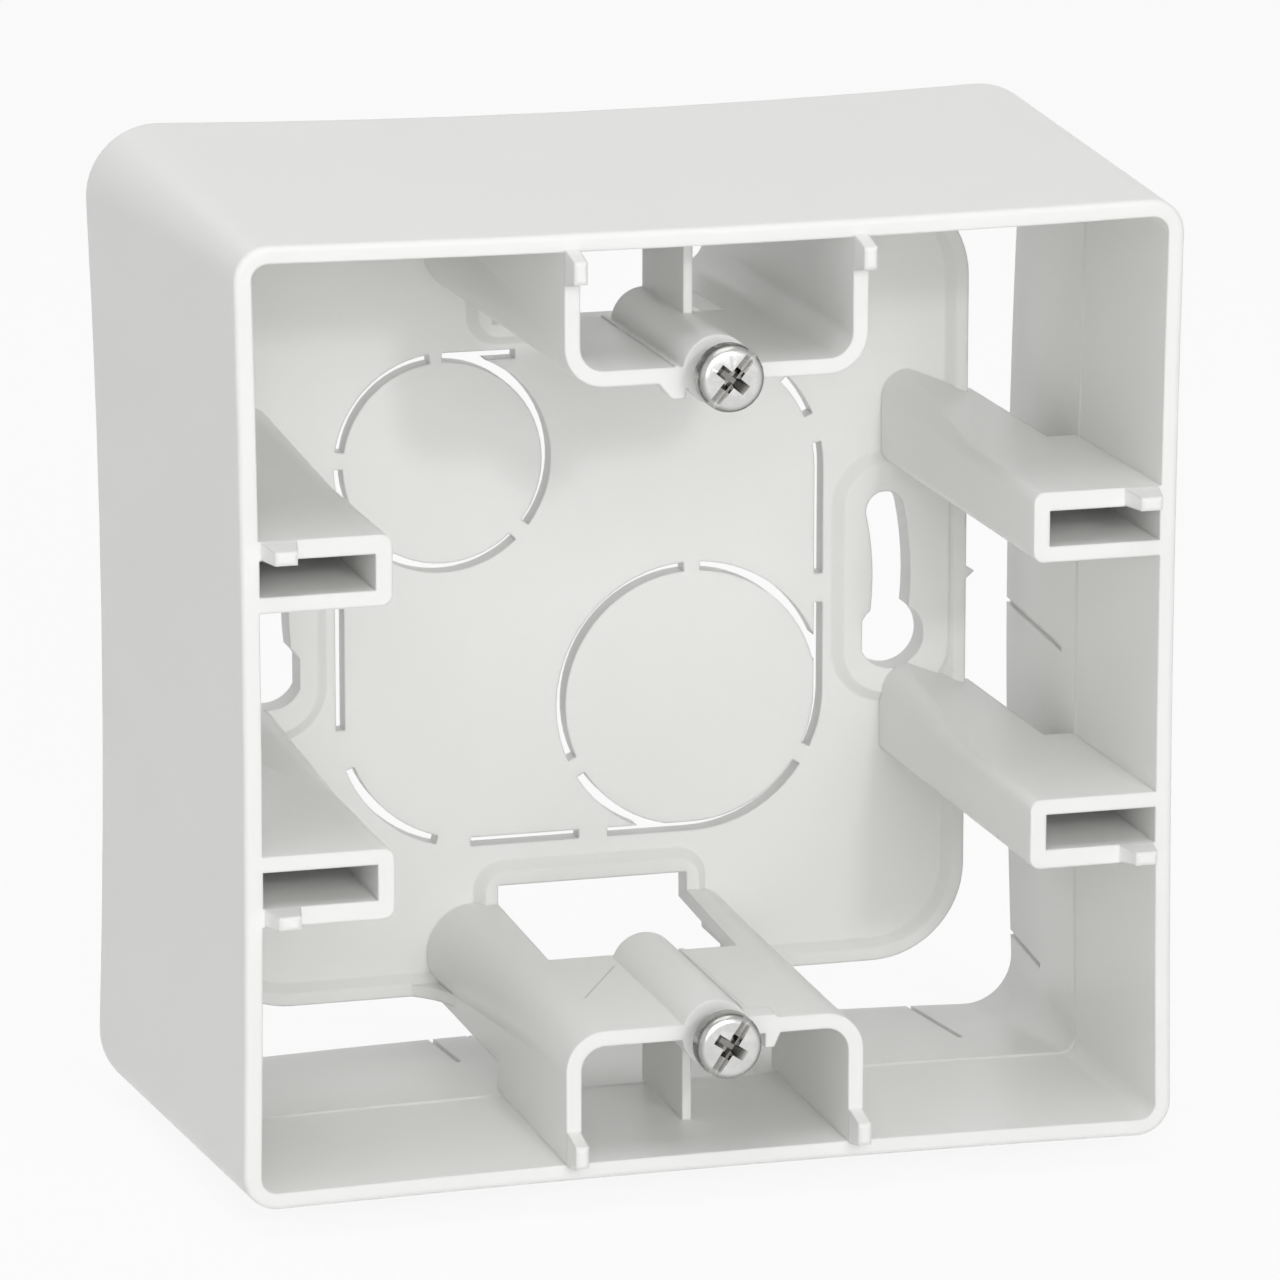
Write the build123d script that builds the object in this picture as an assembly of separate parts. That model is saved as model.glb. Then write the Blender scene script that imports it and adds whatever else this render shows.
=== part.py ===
from build123d import *
import math
import os

# Square surface mount box for a wiring device, with its two device screws.
# Units are mm. X runs right, Z up, and Y from the viewer to the wall.
# The origin is the middle of the rear face, which lies on the wall (Y = 0).
# Depths called "back" are measured from the front rim towards the wall.

# Outer shell
DEPTH = 47.0
FRONT_SIDE = 86.0
REAR_SIDE = 92.0
FRONT_CORNER = 3.1
REAR_CORNER = 6.5
FRONT_BOW = 0.45
REAR_BOW = 1.1
RIM_WALL = 1.55
REAR_WALL = 2.25
RIM_ROUND = 0.5

# Line inside the shell where the two halves of the mould meet
PARTING = 21.6
PARTING_WALL = 3.0
PARTING_BOW = 0.5
PARTING_STEP = 0.18
INNER_CORNER_FRONT = 1.5
INNER_CORNER_REAR = 4.6

# Back plate
PLATE_THICK = 2.0
REAR_GAP = 0.7
PLATE_HALF = 37.3
PLATE_CORNER = 9.0
LIP_HEIGHT = 1.1
LIP_WIDTH = 1.15
LIP_SLOPE = 0.75
NUB_SIZE = 0.8
NUB_BELOW = 1.2
NUB_ABOVE = 0.9

# Device screw places
SCREW_PITCH = 60.0
BOSS_RADIUS = 3.1
THREAD_DIA = 3.2
BORE_CLEARANCE = 0.05
BOSS_BACK = 23.0

# Bridges that carry the bosses
BRIDGE_HALF = 13.75
BRIDGE_WALL = 1.4
BRIDGE_INNER = 29.0
BRIDGE_PLATE = 1.4
BRIDGE_CORNER = 3.6
BRIDGE_CUT_BACK = 23.5
BRIDGE_FREE_EDGE = 38.2
BRIDGE_FOOT_CORNER = 4.6
BRIDGE_FOOT_BULGE = 1.25
WEB_OUT = 3.0
WEB_LONG = 9.0
WEB_BEND = (0.25, 0.3)
RIB_MIDDLE = 0.25
RIB_WALL = 0.85
RIB_FRONT = 10.0
LEG_NOTCH_BACK = 39.5
LEG_NOTCH_START = 33.6
LEG_NOTCH_WIDE = 0.45

# Windows behind the bosses, a little askew, the lower one set by a half turn
UPPER_WINDOW_HALF = 7.7
UPPER_WINDOW_INNER = 26.2
LOWER_WINDOW_HALF = 8.9
LOWER_WINDOW_INNER = 27.2
WINDOW_LEFT_DRIFT = 1.2
WINDOW_RIGHT_DRIFT = 0.6
LEDGE_MARGIN = 1.25
LEDGE_HEIGHT = 1.2
LEDGE_SLOPE = 1.3
LEDGE_CORNER = 2.0

# Small fins and fine ridges beside the bosses
TAB_DEEP = 2.5
TAB_TIP = 0.8
UPPER_TAB_REACH = 5.4
UPPER_TAB_DROP = 2.4
LOWER_TAB_REACH = 6.2
LOWER_TAB_RISE = 1.3
LOWER_TAB_DROP = 1.7
RIDGE_MIDDLE = 3.65
RIDGE_WIDE = 0.4
RIDGE_HIGH = 0.14

# Ducts at the sides
DUCT_SIDE = 29.2
DUCT_WALL = 1.5
DUCT_NEAR = 10.85
DUCT_FAR = 17.2
DUCT_NEAR_WALL = 1.4
DUCT_FAR_WALL = 1.7
DUCT_OPEN_OUT = 41.0
DUCT_STEP_BACK = 22.4
DUCT_FREE_SIDE = 38.1
DUCT_FLOOR = 1.5
DUCT_ROUND = 1.0
DUCT_FOOT_FRONT = 21.0
DUCT_FOOT_RISE = 2.4
DUCT_FOOT_CORNER = 2.6
DUCT_FOOT_EDGE = 0.3

# Nibs that stand in front of the rim plane and centre the device
NIB_PROUD = 3.0
NIB_CHAMFER = 0.25
NIB_DRAFT = 0.75
NIB_INSET = 0.05
BRIDGE_NIB_LONG = 3.4
BRIDGE_NIB_GAP = 0.1
DUCT_NIB_LONG = 3.4
DUCT_NIB_GAP = 0.5

# Keyholes for the wall screws, on a circle about the middle of the box
KEY_PITCH = 60.0
KEY_SLOT = 3.7
KEY_SLOT_TOP = 8.15
KEY_ENTRY_RADIUS = 3.2
KEY_ENTRY_DROP = 5.7
KEY_ENTRY_FLAT = 2.85
PAD_LEFT = 25.4
PAD_RIGHT = 35.6
PAD_TOP = 10.9
PAD_BOTTOM = -11.2
PAD_CORNER = 4.2
PAD_HEIGHT = 0.9
PAD_SLOPE = 1.7

# Break-out lines in the back plate
SLIT = 0.85
KNOCK_SQUARE_HALF = 23.1
KNOCK_SQUARE_CORNER = 12.4
KNOCK_A_RADIUS = 9.9
KNOCK_B_RADIUS = 12.65
KNOCK_A_ARCS = [(96.9, 171.1), (180.4, 231.0), (240.0, 312.3), (322.4, 448.2)]
KNOCK_B_ARCS = [(93.4, 203.9), (211.9, 258.0), (14.0, 86.2)]
KNOCK_UPPER_ARCS = [(23.6, 43.8), (0.0, 10.9)]
KNOCK_LOWER_ARCS = [(-25.3, 0.0), (-90.0, -33.7)]
KNOCK_LEFT_ARCS = [(201.6, 254.8)]

# Score lines in the shell for wall break-outs
SCORE_DEEP = 0.35
SCORE_WIDE = 0.5
RIGHT_SCORES = [(-3.9, 26.5), (-36.7, 35.0)]
LOWER_SCORES = [(-14.0, 36.5), (33.2, 31.0)]
NICK_WIDE = 0.8
NICK_DEEP = 0.45
RIGHT_NICKS = [-15.0]
LOWER_NICKS = [-14.0, -10.4]

# Device screws
HEAD_DIA = 6.0
HEAD_HEIGHT = 2.0
HEAD_EDGE = 1.2
HEAD_PROUD = 4.8
HEAD_DOME = 0.22
HEAD_DOME_AT = 0.62
SCREW_LENGTH = 15.0
SCREW_POINT = 1.0
SLOT_DEEP = 0.75
SLOT_WIDE = 0.95
RECESS_DEEP = 1.1
CROSS_WIDE = 1.0
CROSS_SPAN = 3.2
SCREW_TURN_UPPER = 28.0
SCREW_TURN_LOWER = 22.0

# How far pieces of the moulding run into each other, and cuts past them
WELD = 0.6
OVERCUT = 1.0

# Places that follow from the values above
PLATE_FACE = DEPTH - PLATE_THICK - REAR_GAP
BRIDGE_OUTER = BRIDGE_INNER + BRIDGE_PLATE
BOSS_MIDDLE = SCREW_PITCH / 2
RIM_INNER = FRONT_SIDE / 2 - RIM_WALL
PARTING_OUTER = FRONT_SIDE / 2 + (REAR_SIDE - FRONT_SIDE) / 2 * PARTING / DEPTH
PARTING_HALF = PARTING_OUTER - PARTING_WALL
REAR_PARTING_HALF = PARTING_HALF - PARTING_STEP
REAR_INNER = REAR_SIDE / 2 - REAR_WALL


def y_at(back):
    return back - DEPTH


def wave(half, bow, radius, y):
    """Square face at y whose four sides sink in by bow at the middle."""
    big = (half * half + bow * bow) / (2.0 * bow)
    far = half - bow + big
    # The corner arc touches the two side arcs from inside the square.
    b = -2.0 * far
    c = far * far - (big + radius) ** 2
    k = (-b - math.sqrt(b * b - 8.0 * c)) / 4.0
    span = math.hypot(far - k, k)
    near = Vector(k + radius * (far - k) / span, k - radius * k / span)
    mid = radius / math.sqrt(2.0)
    edges = []
    quarter = [(1, 0), (0, 1), (-1, 0), (0, -1)]
    for cx, sx in quarter:
        def turn(u, v):
            return Vector(cx * u - sx * v, y, sx * u + cx * v)
        low = turn(near.X, -near.Y)
        high = turn(near.X, near.Y)
        nxt = turn(near.Y, near.X)
        edges.append(ThreePointArc(low, turn(half - bow, 0), high))
        edges.append(ThreePointArc(high, turn(k + mid, k + mid), nxt))
    return make_face(edges)


def slab(x0, x1, back0, back1, z0, z1):
    """Box between two x, two depths and two heights."""
    box = Box(x1 - x0, back1 - back0, z1 - z0)
    return Pos((x0 + x1) / 2, y_at((back0 + back1) / 2), (z0 + z1) / 2) * box


def along_y(face, back0, back1):
    """A face drawn in X and Z, pulled from one depth to the other."""
    placed = Plane.XZ.offset(-y_at(back0)) * face
    return extrude(placed, amount=back1 - back0, dir=(0, 1, 0))


def taper_y(half_x, half_z, corner, back0, back1, grow):
    """Rounded block that widens by grow from its front to its foot."""
    front = y_at(back0)
    top = Plane.XZ.offset(-front) * RectangleRounded(2 * half_x, 2 * half_z, corner)
    foot_size = RectangleRounded(2 * (half_x + grow), 2 * (half_z + grow), corner + grow)
    foot = Plane.XZ.offset(-y_at(back1)) * foot_size
    return loft([top.face(), foot.face()], ruled=True)


def both_signs(make):
    """A feature and its mirror image above and below the middle."""
    first = make()
    return [first, mirror(first, about=Plane.XY)]


def outline_at(back, edges):
    """Face from edges drawn in X and Z, set at one depth."""
    return Pos(0, y_at(back), 0) * Rot(90, 0, 0) * make_face(edges)


def shell():
    """Outer walls with their inside drafted both ways from the parting line."""
    front = wave(FRONT_SIDE / 2, FRONT_BOW, FRONT_CORNER, y_at(0))
    rear = wave(REAR_SIDE / 2, REAR_BOW, REAR_CORNER, 0)
    body = loft([front, rear], ruled=True)
    rim = body.faces().sort_by(Axis.Y)[0]
    body = fillet(rim.edges(), RIM_ROUND)
    mouth = wave(RIM_INNER, FRONT_BOW, INNER_CORNER_FRONT, y_at(0))
    waist = wave(PARTING_HALF, PARTING_BOW, INNER_CORNER_FRONT, y_at(PARTING))
    body = body - loft([mouth, waist], ruled=True)
    rear_waist = wave(REAR_PARTING_HALF, PARTING_BOW, INNER_CORNER_FRONT, y_at(PARTING))
    back = wave(REAR_INNER, REAR_BOW, INNER_CORNER_REAR, 0)
    return body - loft([rear_waist, back], ruled=True)


def inner_wall(back, across):
    """Distance of the inner face of the rear half from the middle."""
    t = (back - PARTING) / (DEPTH - PARTING)
    half = REAR_PARTING_HALF + t * (REAR_INNER - REAR_PARTING_HALF)
    bow = PARTING_BOW + t * (REAR_BOW - PARTING_BOW)
    return half - bow * (1 - (across / half) ** 2)


def score(across, back0):
    """Groove cut into the right wall from the rear edge up to a depth."""
    end = DEPTH + OVERCUT
    pts = []
    for back in (back0, end):
        pts.append((inner_wall(back, across) + SCORE_DEEP, y_at(back)))
    for back in (end, back0):
        pts.append((inner_wall(back, across) - OVERCUT, y_at(back)))
    face = make_face(Polyline(*pts, close=True))
    return Pos(0, 0, across - SCORE_WIDE / 2) * extrude(face, amount=SCORE_WIDE)


def nick(across):
    """Small notch in the rear edge of the right wall."""
    inner = inner_wall(DEPTH, across)
    half = NICK_WIDE / 2
    x0 = inner - OVERCUT
    x1 = inner + NICK_DEEP
    edges = Polyline((x0, across - half), (x1, across), (x0, across + half), close=True)
    return along_y(make_face(edges), DEPTH - NICK_WIDE, DEPTH + OVERCUT)


def wall_scores():
    """Score lines of the right and lower walls, and their opposite partners."""
    cuts = []
    for turn in (0, 180):
        for across, back0 in RIGHT_SCORES:
            cuts.append(Rot(0, turn, 0) * score(across, back0))
        for across, back0 in LOWER_SCORES:
            cuts.append(Rot(0, turn + 90, 0) * score(across, back0))
    cuts += [nick(across) for across in RIGHT_NICKS]
    cuts += [Rot(0, 90, 0) * nick(across) for across in LOWER_NICKS]
    return cuts


def plate():
    """Back plate with its raised lip and the nub at its right edge."""
    blank = RectangleRounded(2 * PLATE_HALF, 2 * PLATE_HALF, PLATE_CORNER)
    front = PLATE_FACE - LIP_HEIGHT
    body = along_y(blank, front, PLATE_FACE + PLATE_THICK)
    top_half = PLATE_HALF - LIP_WIDTH
    floor_half = top_half - LIP_SLOPE
    mouth = RectangleRounded(2 * top_half, 2 * top_half, PLATE_CORNER - LIP_WIDTH)
    floor = RectangleRounded(2 * floor_half, 2 * floor_half, PLATE_CORNER - LIP_WIDTH - LIP_SLOPE)
    mouth_face = (Plane.XZ.offset(-y_at(front)) * mouth).face()
    floor_face = (Plane.XZ.offset(-y_at(PLATE_FACE)) * floor).face()
    body = body - loft([mouth_face, floor_face], ruled=True)
    tip = PLATE_HALF + NUB_SIZE
    root = PLATE_HALF - WELD
    nub = Polyline((root, -NUB_BELOW), (tip, 0.0), (root, NUB_ABOVE), close=True)
    body = body + along_y(make_face(nub), front, PLATE_FACE)
    return body


def pad():
    """Raised pad round the right keyhole."""
    half_x = (PAD_RIGHT - PAD_LEFT) / 2
    half_z = (PAD_TOP - PAD_BOTTOM) / 2
    block = taper_y(half_x, half_z, PAD_CORNER, PLATE_FACE - PAD_HEIGHT, PLATE_FACE + WELD, PAD_SLOPE)
    return Pos((PAD_LEFT + PAD_RIGHT) / 2, 0, (PAD_TOP + PAD_BOTTOM) / 2) * block


def keyhole():
    """Cut of the right keyhole: a slot on a circle and its round entry."""
    radius = KEY_PITCH / 2
    top = math.asin((KEY_SLOT_TOP - KEY_SLOT / 2) / radius)
    low = math.asin(-KEY_ENTRY_DROP / radius)
    ring = Circle(radius + KEY_SLOT / 2) - Circle(radius - KEY_SLOT / 2)
    reach = 2 * radius
    wedge = make_face(Polyline(
        (0, 0),
        (reach * math.cos(low), reach * math.sin(low)),
        (reach * math.cos(top), reach * math.sin(top)),
        close=True,
    ))
    cut = ring & wedge
    end = (radius * math.cos(top), radius * math.sin(top))
    cut = cut + Pos(*end) * Circle(KEY_SLOT / 2)
    entry = Circle(KEY_ENTRY_RADIUS)
    flat = 2 * KEY_ENTRY_RADIUS
    keep = Pos(KEY_ENTRY_RADIUS - KEY_ENTRY_FLAT, 0) * Rectangle(flat, 2 * flat)
    cut = cut + Pos(radius, -KEY_ENTRY_DROP) * (entry & keep)
    return along_y(cut, PLATE_FACE - PAD_HEIGHT - OVERCUT, DEPTH + OVERCUT)


def arc_slit(centre, radius, start, stop):
    """Curved slit between two angles, counted from +X towards +Z."""
    ring = Circle(radius + SLIT / 2) - Circle(radius - SLIT / 2)
    steps = max(2, int(abs(stop - start) / 40) + 1)
    fan = [(0.0, 0.0)]
    for i in range(steps + 1):
        a = math.radians(start + (stop - start) * i / steps)
        fan.append((2.0 * radius * math.cos(a), 2.0 * radius * math.sin(a)))
    part = ring & make_face(Polyline(*fan, close=True))
    return Pos(*centre) * part


def straight_slit(p, q):
    """Straight slit between two points of the back plate."""
    length = math.hypot(q[0] - p[0], q[1] - p[1])
    angle = math.degrees(math.atan2(q[1] - p[1], q[0] - p[0]))
    return Pos((p[0] + q[0]) / 2, (p[1] + q[1]) / 2) * Rot(0, 0, angle) * Rectangle(length, SLIT)


def slits():
    """Broken outlines of the square and of the two round break-outs."""
    h = KNOCK_SQUARE_HALF
    c = h - KNOCK_SQUARE_CORNER
    a_mid = (-h + KNOCK_A_RADIUS, h - KNOCK_A_RADIUS)
    arcs = [(a_mid, KNOCK_A_RADIUS, *ends) for ends in KNOCK_A_ARCS]
    arcs += [((c, -c), KNOCK_B_RADIUS, *ends) for ends in KNOCK_B_ARCS]
    arcs += [((c, c), KNOCK_SQUARE_CORNER, *ends) for ends in KNOCK_UPPER_ARCS]
    arcs += [((c, -c), KNOCK_SQUARE_CORNER, *ends) for ends in KNOCK_LOWER_ARCS]
    arcs += [((-c, -c), KNOCK_SQUARE_CORNER, *ends) for ends in KNOCK_LEFT_ARCS]
    lines = [
        ((a_mid[0], h), (-0.27 * h, h)),
        ((h, c), (h, 0.02 * h)),
        ((h, -0.1 * h), (h, -c)),
        ((c, -h), (0.11 * h, -h)),
        ((-0.01 * h, -h), (-c, -h)),
        ((-h, 0.005 * h), (-h, -0.5 * h)),
    ]
    pieces = [arc_slit(*arc) for arc in arcs] + [straight_slit(p, q) for p, q in lines]
    return [along_y(f, PLATE_FACE - WELD, DEPTH + WELD) for f in pieces]


def bridge_outline(back, radius, bulge):
    """Outer outline of the upper bridge at one depth, its corners bulging out."""
    top = REAR_SIDE / 2
    cx = BRIDGE_HALF + bulge - radius
    cz = BRIDGE_INNER + radius
    end = math.acos((radius - bulge) / radius)
    mid = (end - math.pi / 2) / 2
    low = (cx, BRIDGE_INNER)
    side = (cx + radius * math.cos(mid), cz + radius * math.sin(mid))
    high = (BRIDGE_HALF, cz + radius * math.sin(end))
    edges = [
        Line((-cx, BRIDGE_INNER), low),
        ThreePointArc(low, side, high),
        Line(high, (BRIDGE_HALF, top)),
        Line((BRIDGE_HALF, top), (-BRIDGE_HALF, top)),
        Line((-BRIDGE_HALF, top), (-high[0], high[1])),
        ThreePointArc((-high[0], high[1]), (-side[0], side[1]), (-cx, BRIDGE_INNER)),
    ]
    return outline_at(back, edges)


def bridge_room(back0, back1, reach):
    """Room inside the upper bridge, from its cross wall up to a height."""
    top = REAR_SIDE / 2
    half = BRIDGE_HALF - BRIDGE_WALL
    face = RectangleRounded(2 * half, 2 * (top - BRIDGE_OUTER), BRIDGE_CORNER - BRIDGE_WALL)
    return along_y(Pos(0, top) * face, back0, back1) & slab(-half, half, back0, back1, 0, reach)


def bridge_wall():
    """Upper bridge from the rim to the back plate, flared at its foot."""
    foot = PLATE_FACE + WELD
    wide = BRIDGE_HALF + BRIDGE_FOOT_BULGE + OVERCUT
    front = bridge_outline(0, BRIDGE_CORNER, 0)
    rear = bridge_outline(foot, BRIDGE_FOOT_CORNER, BRIDGE_FOOT_BULGE)
    body = loft([front, rear], ruled=True)
    body = body - bridge_room(-OVERCUT, foot + OVERCUT, REAR_SIDE / 2)
    keep_front = slab(-wide, wide, 0, BRIDGE_CUT_BACK, 0, RIM_INNER + WELD)
    keep_rear = slab(-wide, wide, BRIDGE_CUT_BACK, foot, 0, BRIDGE_FREE_EDGE)
    return body & (keep_front + keep_rear)


def leg_web():
    """Curved web that leads the plate's lip into the right leg of the bridge."""
    root = BRIDGE_HALF - WELD
    lip = y_at(PLATE_FACE - LIP_HEIGHT)
    tip = (BRIDGE_HALF + WEB_OUT, lip)
    low = (BRIDGE_HALF, lip - WEB_LONG)
    bend = (BRIDGE_HALF + WEB_BEND[0] * WEB_OUT, lip - WEB_BEND[1] * WEB_LONG)
    foot = y_at(PLATE_FACE + WELD)
    edges = [
        ThreePointArc(tip, bend, low),
        Polyline(low, (root, low[1]), (root, foot), (tip[0], foot), tip),
    ]
    web = extrude(make_face(edges), amount=LIP_WIDTH)
    return Pos(0, 0, PLATE_HALF - LIP_WIDTH) * web


def window_edges(half, back):
    """Left and right edge of a window at one depth."""
    t = (back - BRIDGE_CUT_BACK) / (DEPTH - BRIDGE_CUT_BACK)
    return -half - t * WINDOW_LEFT_DRIFT, half - t * WINDOW_RIGHT_DRIFT


def ledge(half, inner):
    """Raised edge on the back plate round the window of the upper bridge."""
    left, right = window_edges(half, PLATE_FACE)
    front = PLATE_FACE - LEDGE_HEIGHT
    top = PLATE_HALF + 2 * LEDGE_CORNER
    half_x = (right - left) / 2 + LEDGE_MARGIN
    half_z = (top - inner) / 2 + LEDGE_MARGIN
    block = taper_y(half_x, half_z, LEDGE_CORNER, front, PLATE_FACE + WELD, LEDGE_SLOPE)
    placed = Pos((left + right) / 2, 0, (top + inner) / 2) * block
    return placed & slab(2 * left, 2 * right, front, DEPTH, 0, PLATE_HALF)


def window(half, inner):
    """Cut through the upper bridge and the back plate behind the boss."""
    top = PLATE_HALF + OVERCUT
    faces = []
    for back in (BRIDGE_CUT_BACK, DEPTH + OVERCUT):
        left, right = window_edges(half, back)
        corners = [(left, inner), (right, inner), (right, top), (left, top)]
        faces.append(outline_at(back, Polyline(*corners, close=True)))
    return loft(faces, ruled=True)


def leg_notch():
    """Gap at the foot of the lower right leg, through the plate's edge."""
    x0 = BRIDGE_HALF - BRIDGE_WALL - WELD
    x1 = BRIDGE_HALF + LEG_NOTCH_WIDE
    low = -PLATE_HALF - 2 * OVERCUT
    return slab(x0, x1, LEG_NOTCH_BACK, DEPTH + OVERCUT, low, -LEG_NOTCH_START)


def boss_and_rib():
    """Screw boss of the upper bridge and the recessed rib that ties it to the wall."""
    boss = along_y(Pos(0, BOSS_MIDDLE) * Circle(BOSS_RADIUS), 0, BOSS_BACK)
    left = RIB_MIDDLE - RIB_WALL / 2
    rib = slab(left, left + RIB_WALL, RIB_FRONT, BOSS_BACK, BOSS_MIDDLE, RIM_INNER + WELD)
    return boss + rib


def bore():
    """Hole of the upper boss, clear of the screw thread."""
    circle = Pos(0, BOSS_MIDDLE) * Circle(THREAD_DIA / 2 + BORE_CLEARANCE)
    return along_y(circle, -OVERCUT, BOSS_BACK + OVERCUT)


def duct_front():
    """Front part of the upper right duct, which runs into the shell."""
    wide = RIM_INNER + WELD - DUCT_SIDE
    tall = DUCT_FAR - DUCT_NEAR
    face = Pos(DUCT_SIDE + wide, (DUCT_NEAR + DUCT_FAR) / 2) * RectangleRounded(2 * wide, tall, DUCT_ROUND)
    block = along_y(face, 0, DUCT_STEP_BACK)
    return block & slab(DUCT_SIDE, DUCT_SIDE + wide, 0, DUCT_STEP_BACK, 0, RIM_INNER)


def duct_outline(back, radius, rise, fold):
    """Outline of the duct's rear part, its top inner corner raised by rise."""
    x0 = DUCT_SIDE
    x1 = DUCT_FREE_SIDE
    low = DUCT_NEAR + DUCT_ROUND
    top = DUCT_FAR + rise
    s = radius * (1 - math.sqrt(0.5))
    r = DUCT_ROUND * (1 - math.sqrt(0.5))
    edges = [
        Line((x0 + DUCT_ROUND, DUCT_NEAR), (x1, DUCT_NEAR)),
        Line((x1, DUCT_NEAR), (x1, DUCT_FAR)),
        Line((x1, DUCT_FAR), (fold, DUCT_FAR)),
        Line((fold, DUCT_FAR), (x0 + radius, top)),
        ThreePointArc((x0 + radius, top), (x0 + s, top - s), (x0, top - radius)),
        Line((x0, top - radius), (x0, low)),
        ThreePointArc((x0, low), (x0 + r, DUCT_NEAR + r), (x0 + DUCT_ROUND, DUCT_NEAR)),
    ]
    return outline_at(back, edges)


def duct_rear():
    """Rear part of the duct, with a foot that rises along its inner top edge."""
    first = DUCT_SIDE + DUCT_ROUND + DUCT_FOOT_EDGE
    last = DUCT_FREE_SIDE - DUCT_FOOT_EDGE
    front = duct_outline(DUCT_FOOT_FRONT, DUCT_ROUND, 0, first)
    rear = duct_outline(PLATE_FACE + WELD, DUCT_FOOT_CORNER, DUCT_FOOT_RISE, last)
    return loft([front, rear], ruled=True)


def ducts():
    """The four ducts: every one has its foot on its upper side."""
    upper = duct_front() + duct_rear()
    lower = Pos(0, 0, -DUCT_NEAR - DUCT_FAR) * upper
    return [upper, lower, mirror(upper, about=Plane.YZ), mirror(lower, about=Plane.YZ)]


def pocket():
    """Blind pocket of the upper right duct, narrower behind the step."""
    x0 = DUCT_SIDE + DUCT_WALL
    z0 = DUCT_NEAR + DUCT_NEAR_WALL
    z1 = DUCT_FAR - DUCT_FAR_WALL
    front = slab(x0, DUCT_OPEN_OUT, -OVERCUT, DUCT_STEP_BACK - DUCT_FLOOR, z0, z1)
    rear = slab(x0, DUCT_FREE_SIDE - DUCT_WALL, 0, PLATE_FACE - DUCT_FLOOR, z0, z1)
    return front + rear


def nib(x0, x1, z0, z1, draft_x, draft_z):
    """Block that stands in front of the rim, narrower at its chamfered front."""
    faces = []
    for back, t in ((WELD, 0), (-NIB_PROUD, 1)):
        a = x0 + t * draft_x
        b = x1 - t * draft_x
        c = z0 + t * draft_z[0]
        d = z1 - t * draft_z[1]
        faces.append(outline_at(back, Polyline((a, c), (b, c), (b, d), (a, d), close=True)))
    block = loft(faces, ruled=True)
    return chamfer(block.faces().sort_by(Axis.Y)[0].edges(), NIB_CHAMFER)


def bridge_nib():
    """Nib at the wall end of the upper bridge's right leg."""
    z1 = RIM_INNER - BRIDGE_NIB_GAP
    x0 = BRIDGE_HALF - BRIDGE_WALL + NIB_INSET
    return nib(x0, BRIDGE_HALF - NIB_INSET, z1 - BRIDGE_NIB_LONG, z1, NIB_INSET, (NIB_DRAFT, NIB_DRAFT))


def duct_nib():
    """Nib on the far wall of the upper right duct, next to the shell."""
    x1 = RIM_INNER - DUCT_NIB_GAP
    z0 = DUCT_FAR - DUCT_FAR_WALL + NIB_INSET
    return nib(x1 - DUCT_NIB_LONG, x1, z0, DUCT_FAR - NIB_INSET, NIB_DRAFT, (NIB_INSET, NIB_DRAFT / 2))


def small_tabs():
    """Fins at the front of the bosses and the fine ridges behind them."""
    root = BOSS_RADIUS - WELD
    high = BOSS_MIDDLE
    reach = UPPER_TAB_REACH
    drop = UPPER_TAB_DROP
    upper = Polyline(
        (-root, high), (-reach, high), (-reach, high - drop / 3),
        (-root - 2 * TAB_TIP, high - drop), (-root - TAB_TIP / 2, high - drop), close=True)
    reach = LOWER_TAB_REACH
    lower = Polyline(
        (root, -high + LOWER_TAB_RISE), (reach - WELD, -high + LOWER_TAB_RISE), (reach, -high),
        (reach - TAB_TIP, -high - LOWER_TAB_DROP), (reach - 2 * TAB_TIP, -high - LOWER_TAB_DROP),
        (reach - 2 * TAB_TIP, -high), (root, -high), close=True)
    x0 = RIDGE_MIDDLE - RIDGE_WIDE / 2
    x1 = x0 + RIDGE_WIDE
    low_ridge = slab(x0, x1, 0, BRIDGE_CUT_BACK, -BRIDGE_OUTER, -BRIDGE_INNER + RIDGE_HIGH)
    top_ridge = slab(-x1, -x0, 0, BRIDGE_CUT_BACK, BRIDGE_INNER, BRIDGE_OUTER + RIDGE_HIGH)
    tabs = [along_y(make_face(outline), 0, TAB_DEEP) for outline in (upper, lower)]
    return tabs + [low_ridge, top_ridge]


def on_both_sides(right):
    """A feature and its mirror image at the left."""
    return [right, mirror(right, about=Plane.YZ)]


def box_body():
    """The whole moulding in one piece."""
    half_turn = Rot(0, 180, 0)
    adds = [plate()]
    adds += both_signs(bridge_wall)
    adds += [ledge(UPPER_WINDOW_HALF, UPPER_WINDOW_INNER)]
    adds += [half_turn * ledge(LOWER_WINDOW_HALF, LOWER_WINDOW_INNER)]
    adds += both_signs(boss_and_rib)
    adds += on_both_sides(pad())
    adds += ducts()
    for make in (leg_web, bridge_nib, duct_nib):
        for piece in both_signs(make):
            adds += on_both_sides(piece)
    adds += small_tabs()
    body = shell().fuse(*adds)
    room = bridge_room(PLATE_FACE - LEDGE_HEIGHT - OVERCUT, DEPTH + OVERCUT, PLATE_HALF + OVERCUT)
    cuts = [room, mirror(room, about=Plane.XY), leg_notch()]
    cuts += [window(UPPER_WINDOW_HALF, UPPER_WINDOW_INNER)]
    cuts += [half_turn * window(LOWER_WINDOW_HALF, LOWER_WINDOW_INNER)]
    cuts += both_signs(bore)
    for piece in both_signs(pocket):
        cuts += on_both_sides(piece)
    cuts += on_both_sides(keyhole())
    cuts += slits()
    cuts += wall_scores()
    return body.cut(*cuts)


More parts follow.
